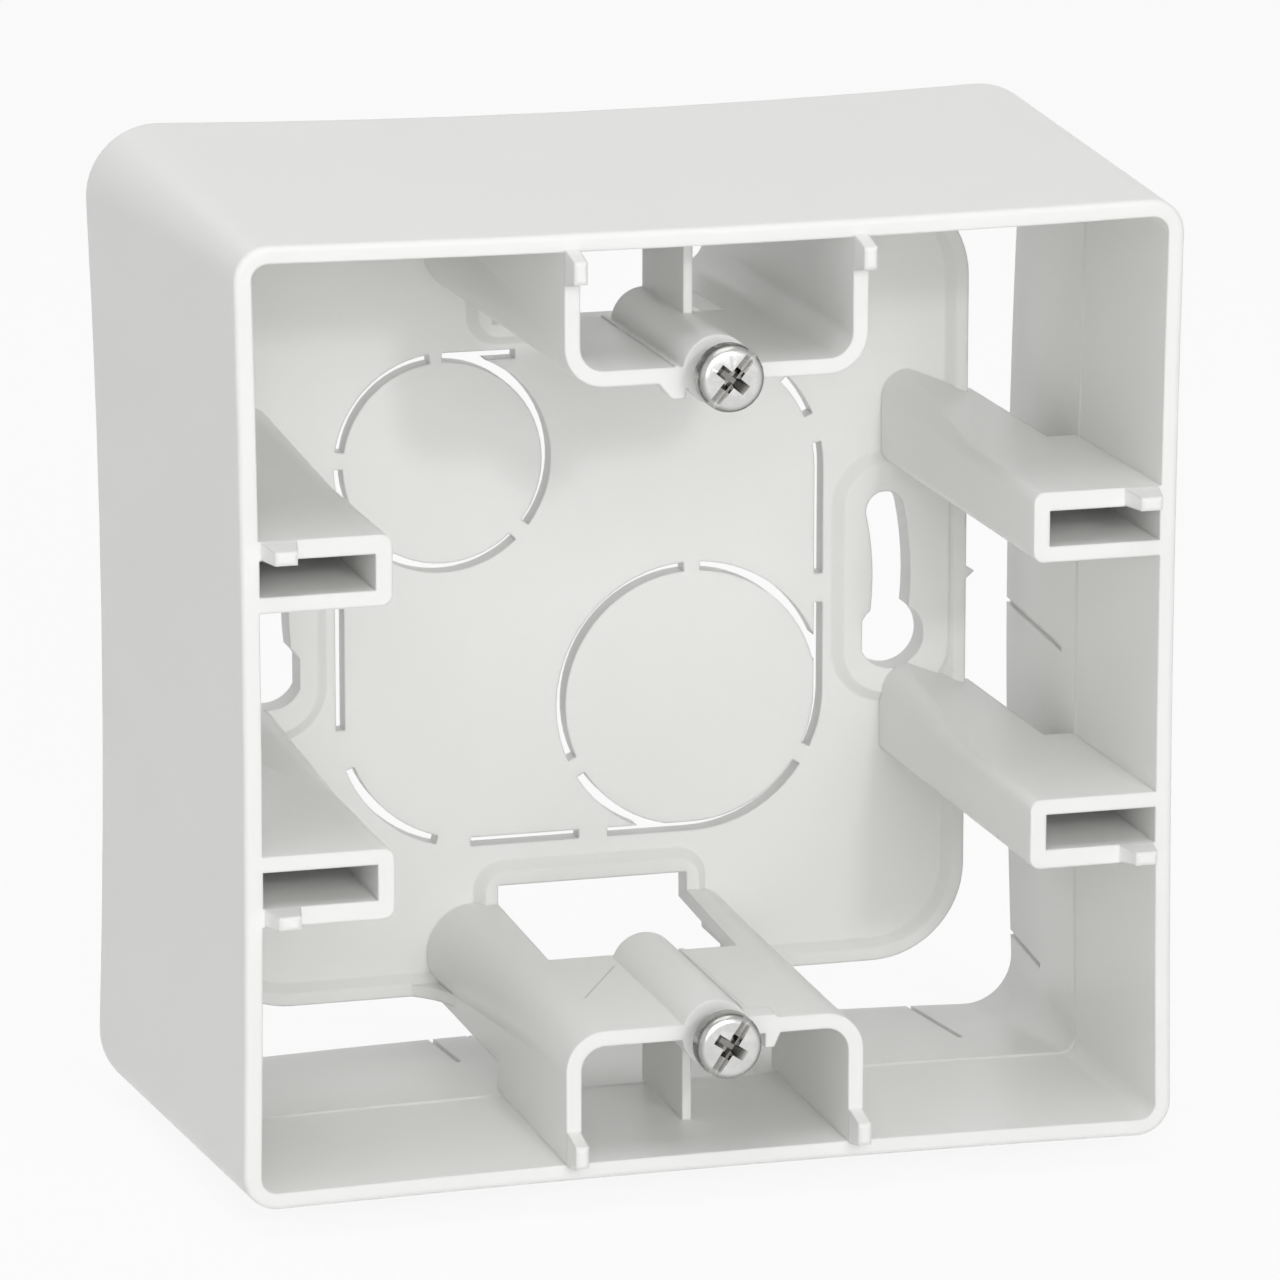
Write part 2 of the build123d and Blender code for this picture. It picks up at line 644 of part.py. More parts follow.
def screw(height, turn):
    """Pan head screw with a straight slot and a cross, along Y."""
    face = y_at(-HEAD_PROUD)
    radius = HEAD_DIA / 2
    under = face + HEAD_HEIGHT
    edge = under - HEAD_EDGE
    tip = under + SCREW_LENGTH
    shank = THREAD_DIA / 2
    top = (HEAD_DOME_AT * radius, face + HEAD_DOME)
    dome = ThreePointArc((0, face), top, (radius, edge))
    rest = Polyline(
        (radius, edge), (radius, under), (shank, under), (shank, tip - SCREW_POINT),
        (shank / 2, tip), (0, tip), (0, face))
    body = revolve(make_face([dome, *rest.edges()]), axis=Axis.Y)
    slot = Pos(0, face, 0) * Box(2 * radius + OVERCUT, 2 * SLOT_DEEP, SLOT_WIDE)
    across = Pos(0, face, 0) * Box(CROSS_SPAN, 2 * RECESS_DEEP, CROSS_WIDE)
    down = Pos(0, face, 0) * Box(CROSS_WIDE, 2 * RECESS_DEEP, CROSS_SPAN)
    body = body - [slot, across, down]
    return Pos(0, 0, height) * Rot(0, turn, 0) * body


def main():
    os.makedirs("parts", exist_ok=True)
    export_step(box_body(), "parts/box_body.step")
    export_step(screw(BOSS_MIDDLE, SCREW_TURN_UPPER), "parts/upper_screw.step")
    export_step(screw(-BOSS_MIDDLE, SCREW_TURN_LOWER), "parts/lower_screw.step")


main()
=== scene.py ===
import math

import bmesh
import bpy
from bpy.props import FloatProperty, FloatVectorProperty, PointerProperty
from bpy.types import Operator, Panel, PropertyGroup
from mathutils import Matrix, Vector


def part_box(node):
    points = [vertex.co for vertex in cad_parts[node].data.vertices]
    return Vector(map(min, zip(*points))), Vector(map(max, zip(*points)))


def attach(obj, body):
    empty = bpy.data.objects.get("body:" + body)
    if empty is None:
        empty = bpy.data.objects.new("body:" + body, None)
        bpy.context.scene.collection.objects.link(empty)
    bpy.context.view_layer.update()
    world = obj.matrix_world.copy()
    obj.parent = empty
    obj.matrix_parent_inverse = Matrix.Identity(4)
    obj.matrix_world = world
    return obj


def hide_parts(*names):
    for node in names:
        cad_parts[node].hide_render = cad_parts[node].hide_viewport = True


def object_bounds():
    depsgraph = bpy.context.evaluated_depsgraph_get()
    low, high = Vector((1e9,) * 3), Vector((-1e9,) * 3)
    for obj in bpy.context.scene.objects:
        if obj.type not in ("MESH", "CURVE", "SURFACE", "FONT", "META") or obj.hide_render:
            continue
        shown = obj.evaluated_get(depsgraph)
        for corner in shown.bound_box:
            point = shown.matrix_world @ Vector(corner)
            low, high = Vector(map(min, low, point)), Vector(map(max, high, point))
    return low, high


bl_info = {
    "name": "Surface Mount Box",
    "version": (1, 0, 0),
    "blender": (4, 5, 0),
    "location": "View3D > Sidebar > Mount Box",
    "description": "Finishes a moulded surface mount box and its two device screws",
    "category": "Object",
}

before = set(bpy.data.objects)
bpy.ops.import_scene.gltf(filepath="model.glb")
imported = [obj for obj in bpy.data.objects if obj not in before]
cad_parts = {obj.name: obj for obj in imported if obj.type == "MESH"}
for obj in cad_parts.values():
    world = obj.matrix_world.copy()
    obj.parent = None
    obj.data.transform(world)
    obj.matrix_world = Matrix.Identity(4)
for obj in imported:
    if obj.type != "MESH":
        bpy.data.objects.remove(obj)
CAD_LOW, CAD_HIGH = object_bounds()
MM = 0.001

# Blank of a screw. Its face rises by the crown towards the middle of the head.
CROWN = 0.04 * MM
UNDERSIDE_CHAMFER = 0.15 * MM
NECK_CHAMFER = 0.25 * MM
TIP_LENGTH = 1.0 * MM
TIP_TAPER = 0.55 * MM
DOME_STEPS = 8
ROUND_STEPS = 96
WELD_DISTANCE = 0.001 * MM

# Thread of a screw. The width of its foot and its tapered ends are shares of the pitch.
THREAD_BELOW_HEAD = 1.2 * MM
THREAD_ABOVE_TIP = 0.9 * MM
THREAD_SINK = 0.1 * MM
HALF_CREST = 0.08 * MM
HALF_FOOT = 0.42
TAPERED_END = 0.75
STEPS_PER_TURN = 32

# Cutters for the slot, in radii of the head, and how much they narrow to their foot.
SLOT_LENGTH = 2.4
SLOT_FOOT = 0.96
CROSS_FOOT = 0.45

EDGE_BEVEL = 0.05 * MM
BEVELLED_FROM = math.radians(40)
SHARP_FROM = math.radians(35)

# Depths below the top of a head, and radii, over which its painted shade in the recess and
# its painted dark reflection on the rim fade.
RECESS_DEPTHS = (0.10 * MM, 0.75 * MM)
RECESS_RADII = (2.3 * MM, 2.8 * MM)
RIM_RADII = (2.35 * MM, 2.80 * MM)

# Scales of the grain and the clouding, in cells per metre.
PLASTIC_CLOUDS = 90.0
METAL_GRAIN = 9000.0
METAL_CLOUDS = 900.0

# What the clouding does at its two ends: factors on the colour, and steps of roughness.
CLOUD_RANGE = (0.3, 0.7)
PLASTIC_SHADES = (0.985, 1.012)
PLASTIC_GLOSS = (-0.05, 0.05)
METAL_SHADES = (0.90, 1.06)
METAL_GLOSS = (-0.08, 0.10)

# Bump: the share of the grain beside the slow waves, its height and its strengths.
GRAIN_SHARE = 0.35
BUMP_HEIGHT = 0.02 * MM
PLASTIC_BUMP = 0.25
METAL_BUMP = 0.3

# A fine darker line across the top of the lower bridge, and the factor on its colour.
LINE_START = (-3.9 * MM, -27.4 * MM, -29.0 * MM)
LINE_END = (-8.85 * MM, -36.0 * MM, -29.0 * MM)
LINE_WIDTH = 0.12 * MM
LINE_SHADE = 0.72

FLOOR_HALF = 6.0
LAMP_TARGET = (0.0, -0.02, 0.0)
SENSOR_WIDTH = 36.0


class ScrewSizes(PropertyGroup):
    """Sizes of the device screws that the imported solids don't carry."""

    head_height: FloatProperty(
        name="Head height", description="From the top of the head to its underside",
        default=2.0 * MM, min=0.5 * MM, max=5 * MM, unit="LENGTH")
    dome_rise: FloatProperty(
        name="Dome rise", description="Height of the rounded part of the head",
        default=0.8 * MM, min=0.1 * MM, max=2 * MM, unit="LENGTH")
    core_radius: FloatProperty(
        name="Core radius", description="Radius at the bottom of the thread",
        default=1.2 * MM, min=0.5 * MM, max=3 * MM, unit="LENGTH")
    thread_radius: FloatProperty(
        name="Thread radius", description="Radius at the crest of the thread",
        default=1.6 * MM, min=0.5 * MM, max=4 * MM, unit="LENGTH")
    thread_pitch: FloatProperty(
        name="Thread pitch", description="Rise of the thread in one turn",
        default=1.25 * MM, min=0.3 * MM, max=3 * MM, unit="LENGTH")
    slot_width: FloatProperty(
        name="Slot width", description="Width of the straight slot",
        default=0.95 * MM, min=0.3 * MM, max=2 * MM, unit="LENGTH")
    slot_depth: FloatProperty(
        name="Slot depth", description="Depth of the straight slot",
        default=0.75 * MM, min=0.2 * MM, max=2 * MM, unit="LENGTH")
    cross_width: FloatProperty(
        name="Cross width", description="Width of one wing of the cross",
        default=1.0 * MM, min=0.3 * MM, max=2 * MM, unit="LENGTH")
    cross_span: FloatProperty(
        name="Cross span", description="Length of the cross over two wings",
        default=3.2 * MM, min=1 * MM, max=5 * MM, unit="LENGTH")
    cross_depth: FloatProperty(
        name="Cross depth", description="Depth of the cross at its middle",
        default=1.4 * MM, min=0.3 * MM, max=3 * MM, unit="LENGTH")
    upper_turn: FloatProperty(
        name="Upper turn", description="Angle of the slot in the upper screw",
        default=math.radians(50), subtype="ANGLE")
    lower_turn: FloatProperty(
        name="Lower turn", description="Angle of the slot in the lower screw",
        default=math.radians(56), subtype="ANGLE")


class PlasticFinish(PropertyGroup):
    """Colour and surface of the moulding."""

    colour: FloatVectorProperty(
        name="Colour", description="Base colour of the plastic",
        default=(0.90, 0.90, 0.885), size=3, min=0, max=1, subtype="COLOR")
    roughness: FloatProperty(
        name="Roughness", description="Roughness of the plain moulded surface",
        default=0.36, min=0, max=1, subtype="FACTOR")
    grain: FloatProperty(
        name="Grain", description="Size of the fine grain left by the mould",
        default=0.18 * MM, min=0.02 * MM, max=2 * MM, unit="LENGTH")
    edge_round: FloatProperty(
        name="Edge round", description="Radius of the soft light line along the edges",
        default=0.32 * MM, min=0.01 * MM, max=1 * MM, unit="LENGTH")
    depth_share: FloatProperty(
        name="Depth share", description="Share of the light scattered below the surface",
        default=0.20, min=0, max=1, subtype="FACTOR")
    depth_reach: FloatProperty(
        name="Depth reach", description="How far that light spreads inside the plastic",
        default=0.8 * MM, min=0.05 * MM, max=5 * MM, unit="LENGTH")


class MetalFinish(PropertyGroup):
    """Colour and surface of the plated screws."""

    colour: FloatVectorProperty(
        name="Colour", description="Base colour of the plating",
        default=(0.66, 0.66, 0.65), size=3, min=0, max=1, subtype="COLOR")
    # Painted shade: this dark colour stands in for the shade deep in the slot and cross.
    recess_colour: FloatVectorProperty(
        name="Recess colour", description="Base colour deep inside the slot and cross",
        default=(0.26, 0.255, 0.245), size=3, min=0, max=1, subtype="COLOR")
    # Painted dark reflection: this dark colour round the edge of the head stands in for
    # the darker surroundings it would mirror.
    rim_colour: FloatVectorProperty(
        name="Rim colour", description="Base colour round the edge of the head",
        default=(0.34, 0.34, 0.33), size=3, min=0, max=1, subtype="COLOR")
    roughness: FloatProperty(
        name="Roughness", description="Roughness of the plating",
        default=0.24, min=0, max=1, subtype="FACTOR")


class Studio(PropertyGroup):
    """Floor, light and camera."""

    light_level: FloatProperty(
        name="Light level", description="Strength of the soft light from all round",
        default=0.28, min=0, max=2)
    key_power: FloatProperty(
        name="Key power", description="Power of the front light that casts the shadows",
        default=1.65, min=0, max=100, subtype="POWER")
    key_size: FloatProperty(
        name="Key size", description="Side of the front light, which softens its shadows",
        default=0.07, min=0.01, max=2, unit="LENGTH")
    front_power: FloatProperty(
        name="Front power", description="Power of the large light in front",
        default=8.30, min=0, max=100, subtype="POWER")
    top_power: FloatProperty(
        name="Top power", description="Power of the large light above",
        default=5.50, min=0, max=100, subtype="POWER")
    left_power: FloatProperty(
        name="Left power", description="Power of the large light at the left",
        default=0.90, min=0, max=100, subtype="POWER")
    rear_power: FloatProperty(
        name="Rear power", description="Power of the large light behind",
        default=1.20, min=0, max=100, subtype="POWER")
    floor_colour: FloatVectorProperty(
        name="Floor colour", description="Colour of the pale floor",
        default=(0.92, 0.92, 0.92), size=3, min=0, max=1, subtype="COLOR")
    floor_glow: FloatProperty(
        name="Floor glow", description="Share of plain white in the floor's colour",
        default=0.9, min=0, max=1, subtype="FACTOR")
    camera_place: FloatVectorProperty(
        name="Camera place", description="Where the camera stands",
        default=(-0.1930, -0.6953, 0.1690), size=3, subtype="TRANSLATION")
    camera_aim: FloatVectorProperty(
        name="Camera aim", description="Direction in which the camera looks",
        default=(0.2681, 0.9344, -0.2345), size=3, subtype="DIRECTION")
    lens: FloatProperty(
        name="Lens", description="Focal length on a sensor 36 mm wide",
        default=223.5, min=20, max=500, unit="CAMERA")


def new_object(name, bm):
    """Object at the origin made from a bmesh, which is freed."""
    mesh = bpy.data.meshes.new(name)
    bm.to_mesh(mesh)
    bm.free()
    piece = bpy.data.objects.new(name, mesh)
    bpy.context.scene.collection.objects.link(piece)
    return piece


def apply_modifiers(piece):
    """Puts the result of a piece's modifiers in its mesh and clears them."""
    graph = bpy.context.evaluated_depsgraph_get()
    mesh = bpy.data.meshes.new_from_object(piece.evaluated_get(graph))
    piece.modifiers.clear()
    piece.data = mesh


def place_mesh(piece, matrix):
    """Moves the mesh of a piece, whose object stays at the origin."""
    piece.data.transform(matrix)
    piece.data.update()


def combine(piece, other, operation):
    """Joins another solid to a piece or cuts it out, and deletes the other."""
    modifier = piece.modifiers.new("Combine", "BOOLEAN")
    modifier.operation = operation
    modifier.solver = "EXACT"
    modifier.object = other
    apply_modifiers(piece)
    bpy.data.objects.remove(other)


def wedge_block(name, size_x, size_z, depth, foot):
    """Cutter along Y from above y = 0 to a depth, its foot smaller by a factor."""
    bm = bmesh.new()
    bmesh.ops.create_cube(bm, size=1.0)
    above = 0.5 * depth
    for vert in bm.verts:
        deep = vert.co.y > 0
        share = foot if deep else 1.0 + (1.0 - foot) * above / depth
        vert.co.x *= size_x * share
        vert.co.z *= size_z * share
        vert.co.y = depth if deep else -above
    return new_object(name, bm)


def screw_blank(name, radius, length, sizes):
    """Head and core spun round the Y axis, with the top of the head at y = 0."""
    head = sizes.head_height
    rise = sizes.dome_rise
    core = sizes.core_radius
    outline = [(0.0, 0.0)]
    for i in range(DOME_STEPS + 1):
        turn = 0.5 * math.pi * i / DOME_STEPS
        out = radius - rise + rise * math.sin(turn)
        outline.append((out, rise * (1.0 - math.cos(turn)) + CROWN))
    outline += [
        (radius, head - UNDERSIDE_CHAMFER),
        (radius - UNDERSIDE_CHAMFER, head),
        (core + NECK_CHAMFER, head),
        (core, head + NECK_CHAMFER),
        (core, length - TIP_LENGTH),
        (core - TIP_TAPER, length),
        (0.0, length),
    ]
    bm = bmesh.new()
    verts = [bm.verts.new((x, y, 0.0)) for x, y in outline]
    edges = [bm.edges.new(pair) for pair in zip(verts, verts[1:])]
    bmesh.ops.spin(
        bm, geom=verts + edges, cent=(0, 0, 0), axis=(0, 1, 0),
        angle=2 * math.pi, steps=ROUND_STEPS, use_merge=True)
    bmesh.ops.remove_doubles(bm, verts=bm.verts, dist=WELD_DISTANCE)
    bmesh.ops.recalc_face_normals(bm, faces=bm.faces)
    return new_object(name, bm)


def thread_ridge(name, start, stop, sizes):
    """Rolled thread between two places on the core, tapered out at both ends."""
    pitch = sizes.thread_pitch
    crest = sizes.thread_radius
    inner = sizes.core_radius - THREAD_SINK
    half = HALF_FOOT * pitch
    steps = int((stop - start) / pitch * STEPS_PER_TURN)
    outline = [(inner, -half), (crest, -HALF_CREST), (crest, HALF_CREST), (inner, half)]
    bm = bmesh.new()
    first = bm.faces.new([bm.verts.new((x, start + y, 0.0)) for x, y in outline])
    bmesh.ops.spin(
        bm, geom=[first], cent=(0, 0, 0), axis=(0, 1, 0),
        dvec=(0, pitch / STEPS_PER_TURN, 0),
        angle=2 * math.pi * steps / STEPS_PER_TURN, steps=steps)
    loose = [edge for edge in bm.edges if edge.is_boundary]
    bmesh.ops.holes_fill(bm, edges=loose, sides=4)
    for vert in bm.verts:
        near = min(vert.co.y - start + half, stop + half - vert.co.y)
        share = max(0.0, min(1.0, near / (TAPERED_END * pitch)))
        radius = math.hypot(vert.co.x, vert.co.z)
        if radius > inner:
            factor = (inner + (radius - inner) * share) / radius
            vert.co.x *= factor
            vert.co.z *= factor
    bmesh.ops.recalc_face_normals(bm, faces=bm.faces)
    return new_object(name, bm)


def soften_edges(piece):
    """Fine bevels, and smooth shading that leaves the flat faces even."""
    bevel = piece.modifiers.new("Soft edges", "BEVEL")
    bevel.width = EDGE_BEVEL
    bevel.segments = 2
    bevel.limit_method = "ANGLE"
    bevel.angle_limit = BEVELLED_FROM
    apply_modifiers(piece)
    for face in piece.data.polygons:
        face.use_smooth = True
    piece.data.set_sharp_from_angle(angle=SHARP_FROM)
    even = piece.modifiers.new("Even normals", "WEIGHTED_NORMAL")
    even.weight = 100
    even.keep_sharp = True
    apply_modifiers(piece)


def build_screw(node, turn, sizes):
    """Pan head screw with slot, cross and thread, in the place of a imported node."""
    low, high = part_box(node)
    centre = Vector(((low.x + high.x) / 2, low.y, (low.z + high.z) / 2))
    radius = (high.x - low.x) / 2
    length = high.y - low.y
    name = node + "_detail"
    piece = screw_blank(name, radius, length, sizes)
    start = sizes.head_height + THREAD_BELOW_HEAD
    stop = length - THREAD_ABOVE_TIP
    combine(piece, thread_ridge(name + "_thread", start, stop, sizes), "UNION")
    slot = wedge_block(
        "slot", SLOT_LENGTH * radius, sizes.slot_width, sizes.slot_depth, SLOT_FOOT)
    combine(piece, slot, "DIFFERENCE")
    for turned in (0.0, 0.5 * math.pi):
        wing = wedge_block(
            "wing", sizes.cross_span, sizes.cross_width, sizes.cross_depth, CROSS_FOOT)
        place_mesh(wing, Matrix.Rotation(turned, 4, "Y"))
        combine(piece, wing, "DIFFERENCE")
    place_mesh(piece, Matrix.Translation(centre) @ Matrix.Rotation(-turn, 4, "Y"))
    soften_edges(piece)
    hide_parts(node)
    return piece


def add_node(tree, kind, place, inputs=None, **settings):
    """Node of a tree at a place, with its settings and the plain values of its inputs."""
    node = tree.nodes.new(kind)
    node.location = place
    for name, value in settings.items():
        setattr(node, name, value)
    for name, value in (inputs or {}).items():
        node.inputs[name].default_value = value
    return node


def link_math(tree, place, operation, first, second, clamp=False):
    """Math node on two outputs or plain numbers."""
    node = add_node(tree, "ShaderNodeMath", place, operation=operation, use_clamp=clamp)
    for socket, value in zip(node.inputs, (first, second)):
        if isinstance(value, (int, float)):
            socket.default_value = value
        else:
            tree.links.new(value, socket)
    return node.outputs["Value"]


def smooth_step(tree, place, value, start, stop):
    """Nought below start, one above stop, and smooth between them."""
    node = add_node(
        tree, "ShaderNodeMapRange", place, {"From Min": start, "From Max": stop},
        interpolation_type="SMOOTHSTEP")
    tree.links.new(value, node.inputs["Value"])
    return node.outputs["Result"]


def mask_colour(tree, place, colour, shade, mask):
    """A colour output that turns to another shade where a mask is one."""
    mix = add_node(tree, "ShaderNodeMix", place, data_type="RGBA")
    mix.inputs["B"].default_value = (*shade, 1.0)
    tree.links.new(mask, mix.inputs["Factor"])
    tree.links.new(colour, mix.inputs["A"])
    return mix.outputs["Result"]


def moulded_surface():
    """Node group: fine grain, slow waves and slight clouding of a surface."""
    name = "Moulded surface"
    if name in bpy.data.node_groups:
        return bpy.data.node_groups[name]
    tree = bpy.data.node_groups.new(name, "ShaderNodeTree")
    face = tree.interface
    face.new_socket("Vector", in_out="INPUT", socket_type="NodeSocketVector")
    face.new_socket("Grain Scale", in_out="INPUT", socket_type="NodeSocketFloat")
    face.new_socket("Wave Scale", in_out="INPUT", socket_type="NodeSocketFloat")
    face.new_socket("Height", in_out="OUTPUT", socket_type="NodeSocketFloat")
    face.new_socket("Clouding", in_out="OUTPUT", socket_type="NodeSocketFloat")
    source = add_node(tree, "NodeGroupInput", (-700, 0))
    result = add_node(tree, "NodeGroupOutput", (500, 0))
    grain = add_node(tree, "ShaderNodeTexNoise", (-400, 150), {"Detail": 2.0})
    waves = add_node(tree, "ShaderNodeTexNoise", (-400, -150), {"Detail": 3.0})
    mixed = add_node(
        tree, "ShaderNodeMath", (0, 100), {1: GRAIN_SHARE}, operation="MULTIPLY_ADD")
    tree.links.new(source.outputs["Vector"], grain.inputs["Vector"])
    tree.links.new(source.outputs["Vector"], waves.inputs["Vector"])
    tree.links.new(source.outputs["Grain Scale"], grain.inputs["Scale"])
    tree.links.new(source.outputs["Wave Scale"], waves.inputs["Scale"])
    tree.links.new(grain.outputs["Fac"], mixed.inputs[0])
    tree.links.new(waves.outputs["Fac"], mixed.inputs[2])
    tree.links.new(mixed.outputs["Value"], result.inputs["Height"])
    tree.links.new(waves.outputs["Fac"], result.inputs["Clouding"])
    return tree


def clouded_surface(tree, coords, scales, finish, shades, gloss):
    """Outputs for a finish: its clouded colour, its uneven roughness and its height."""
    grain_scale, wave_scale = scales
    surface = add_node(
        tree, "ShaderNodeGroup", (-850, 0), node_tree=moulded_surface())
    surface.inputs["Grain Scale"].default_value = grain_scale
    surface.inputs["Wave Scale"].default_value = wave_scale
    tree.links.new(coords, surface.inputs["Vector"])
    tint = add_node(tree, "ShaderNodeMix", (-450, 250), data_type="RGBA")
    for socket, factor in zip("AB", shades):
        shade = [min(1.0, part * factor) for part in finish.colour]
        tint.inputs[socket].default_value = (*shade, 1.0)
    tree.links.new(surface.outputs["Clouding"], tint.inputs["Factor"])
    rough = add_node(tree, "ShaderNodeMapRange", (-450, 0), {
        "From Min": CLOUD_RANGE[0],
        "From Max": CLOUD_RANGE[1],
        "To Min": finish.roughness + gloss[0],
        "To Max": finish.roughness + gloss[1],
    })
    tree.links.new(surface.outputs["Clouding"], rough.inputs["Value"])
    return tint.outputs["Result"], rough.outputs["Result"], surface.outputs["Height"]


def add_bump(tree, height, strength):
    """Bump node for a height, whose normal feeds the shader."""
    bump = add_node(
        tree, "ShaderNodeBump", (-200, -200),
        {"Strength": strength, "Distance": BUMP_HEIGHT})
    tree.links.new(height, bump.inputs["Height"])
    tree.links.new(bump.outputs["Normal"], tree.nodes["Principled BSDF"].inputs["Normal"])
    return bump


def line_mask(tree, coords, start, end, width):
    """One on a fine straight line between two points of a flat face."""
    first, last = Vector(start), Vector(end)
    run = last - first
    centre = add_node(tree, "ShaderNodeMapping", (-1900, 500), {
        "Location": (first + last) / 2,
        "Rotation": (0, 0, math.atan2(run.y, run.x)),
    }, vector_type="TEXTURE")
    tree.links.new(coords, centre.inputs["Vector"])
    split = add_node(tree, "ShaderNodeSeparateXYZ", (-1700, 500))
    tree.links.new(centre.outputs["Vector"], split.inputs["Vector"])
    # How far the line reaches from its centre along each axis, and over what it fades.
    limits = {"X": (run.length / 2, MM), "Y": (width / 2, width / 2), "Z": (MM, 0.5 * MM)}
    mask = None
    for i, (axis, (reach, fade)) in enumerate(limits.items()):
        y = 500 - 150 * i
        far = link_math(tree, (-1500, y), "ABSOLUTE", split.outputs[axis], 0.0)
        out = smooth_step(tree, (-1300, y), far, reach, reach + fade)
        inside = link_math(tree, (-1100, y), "SUBTRACT", 1.0, out)
        if mask is None:
            mask = inside
        else:
            mask = link_math(tree, (-900, y), "MULTIPLY", mask, inside)
    return mask


def head_masks(tree, coords, top, height):
    """Masks of a screw head whose axis is at a height, up or down: painted shade in its
    recess and painted dark reflection on its rim.
    """
    split = add_node(tree, "ShaderNodeSeparateXYZ", (-2100, -500))
    tree.links.new(coords, split.inputs["Vector"])
    x, y, z = split.outputs
    shallow, bottom = RECESS_DEPTHS
    deep = smooth_step(tree, (-1300, -400), y, top + shallow, top + bottom)
    level = link_math(tree, (-1900, -700), "ABSOLUTE", z, 0.0)
    lift = link_math(tree, (-1700, -700), "SUBTRACT", level, height)
    side = link_math(tree, (-1700, -550), "MULTIPLY", x, x)
    rise = link_math(tree, (-1500, -700), "MULTIPLY", lift, lift)
    far = link_math(tree, (-1500, -550), "ADD", side, rise)
    radius = link_math(tree, (-1300, -600), "SQRT", far, 0.0)
    outside = smooth_step(tree, (-1100, -600), radius, *RECESS_RADII)
    inside = link_math(tree, (-900, -600), "SUBTRACT", 1.0, outside)
    recess = link_math(tree, (-700, -500), "MULTIPLY", deep, inside)
    rim = smooth_step(tree, (-1100, -850), radius, *RIM_RADII)
    return recess, rim


def plastic_material(finish):
    """Satin off-white plastic with clouding, grain and soft light along its edges."""
    material = bpy.data.materials.new("moulded_plastic")
    material.use_nodes = True
    tree = material.node_tree
    shader = tree.nodes["Principled BSDF"]
    shader.inputs["IOR"].default_value = 1.5
    shader.inputs["Specular IOR Level"].default_value = 0.3
    shader.inputs["Subsurface Weight"].default_value = finish.depth_share
    shader.inputs["Subsurface Radius"].default_value = (1.0, 1.0, 1.0)
    shader.inputs["Subsurface Scale"].default_value = finish.depth_reach
    coords = add_node(tree, "ShaderNodeTexCoord", (-1100, 0)).outputs["Object"]
    colour, rough, height = clouded_surface(
        tree, coords, (1.0 / finish.grain, PLASTIC_CLOUDS),
        finish, PLASTIC_SHADES, PLASTIC_GLOSS)
    # Darker along a fine straight line across the top of the lower bridge.
    fine_line = line_mask(tree, coords, LINE_START, LINE_END, LINE_WIDTH)
    dark = [part * LINE_SHADE for part in finish.colour]
    colour = mask_colour(tree, (-250, 250), colour, dark, fine_line)
    tree.links.new(colour, shader.inputs["Base Color"])
    tree.links.new(rough, shader.inputs["Roughness"])
    bump = add_bump(tree, height, PLASTIC_BUMP)
    edges = add_node(
        tree, "ShaderNodeBevel", (-450, -250), {"Radius": finish.edge_round}, samples=6)
    tree.links.new(edges.outputs["Normal"], bump.inputs["Normal"])
    return material


def metal_material(finish):
    """Plated steel with fine grain, uneven gloss, painted shade in the recess and a
    painted dark reflection round the rim.
    """
    material = bpy.data.materials.new("plated_steel")
    material.use_nodes = True
    tree = material.node_tree
    shader = tree.nodes["Principled BSDF"]
    shader.inputs["Metallic"].default_value = 1.0
    coords = add_node(tree, "ShaderNodeTexCoord", (-1100, 0)).outputs["Object"]
    colour, rough, height = clouded_surface(
        tree, coords, (METAL_GRAIN, METAL_CLOUDS), finish, METAL_SHADES, METAL_GLOSS)
    low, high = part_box("upper_screw")
    recess, rim = head_masks(tree, coords, low.y, (low.z + high.z) / 2)
    # Painted shade deep in the slot and cross.
    colour = mask_colour(tree, (-300, 250), colour, finish.recess_colour, recess)
    # Painted dark reflection round the edge of the head.
    colour = mask_colour(tree, (-150, 250), colour, finish.rim_colour, rim)
    tree.links.new(colour, shader.inputs["Base Color"])
    tree.links.new(rough, shader.inputs["Roughness"])
    add_bump(tree, height, METAL_BUMP)
    return material


def seen_directly(tree, place):
    """One where a ray comes straight, mirrored or refracted from the camera."""
    x, y = place
    path = add_node(tree, "ShaderNodeLightPath", place)
    straight = path.outputs["Is Camera Ray"]
    mirrored = path.outputs["Is Glossy Ray"]
    refracted = path.outputs["Is Transmission Ray"]
    first = link_math(tree, (x + 200, y), "ADD", straight, mirrored)
    return link_math(tree, (x + 400, y), "ADD", first, refracted, clamp=True)


def floor_material(studio):
    """Pale floor that shows the camera mostly plain white and keeps the shadow."""
    material = bpy.data.materials.new("pale_floor")
    material.use_nodes = True
    tree = material.node_tree
    tree.nodes.clear()
    result = add_node(tree, "ShaderNodeOutputMaterial", (600, 0))
    mix = add_node(tree, "ShaderNodeMixShader", (400, 0))
    matt = add_node(
        tree, "ShaderNodeBsdfDiffuse", (0, 0), {"Color": (*studio.floor_colour, 1.0)})
    glow = add_node(tree, "ShaderNodeEmission", (0, -200))
    seen = seen_directly(tree, (-600, 300))
    share = link_math(tree, (200, 300), "MULTIPLY", seen, studio.floor_glow)
    tree.links.new(share, mix.inputs["Fac"])
    tree.links.new(matt.outputs["BSDF"], mix.inputs[1])
    tree.links.new(glow.outputs["Emission"], mix.inputs[2])
    tree.links.new(mix.outputs["Shader"], result.inputs["Surface"])
    return material


def pale_floor(studio):
    """Wide floor at the lowest point of the box."""
    bm = bmesh.new()
    bmesh.ops.create_grid(bm, x_segments=1, y_segments=1, size=FLOOR_HALF)
    floor = new_object("floor", bm)
    place_mesh(floor, Matrix.Translation((0, 0, CAD_LOW[2])))
    floor.data.materials.append(floor_material(studio))


